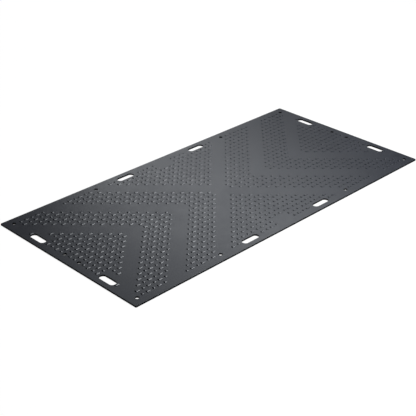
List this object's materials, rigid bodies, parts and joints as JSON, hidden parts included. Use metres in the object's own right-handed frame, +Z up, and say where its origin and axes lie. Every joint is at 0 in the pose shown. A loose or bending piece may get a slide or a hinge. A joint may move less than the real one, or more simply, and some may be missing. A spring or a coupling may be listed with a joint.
{
  "type": "ground protection mat",
  "caption": "Rectangular moulded plastic ground mat with a chevron tread of raised lugs, hand slots along every side and pin holes for joining mats edge to edge.",
  "frame": {"origin": "centre of the flat underside, on the ground", "axes": "+X along the mat's length, +Y across it, +Z up out of the tread"},
  "size_m": [2.44, 1.22, 0.015],
  "materials": {
    "mat": "satin black moulded polyethylene, faintly mottled, with lighter scuffs on the tread"
  },
  "bodies": {
    "root": {"mat": "mat"}
  },
  "joints": []
}
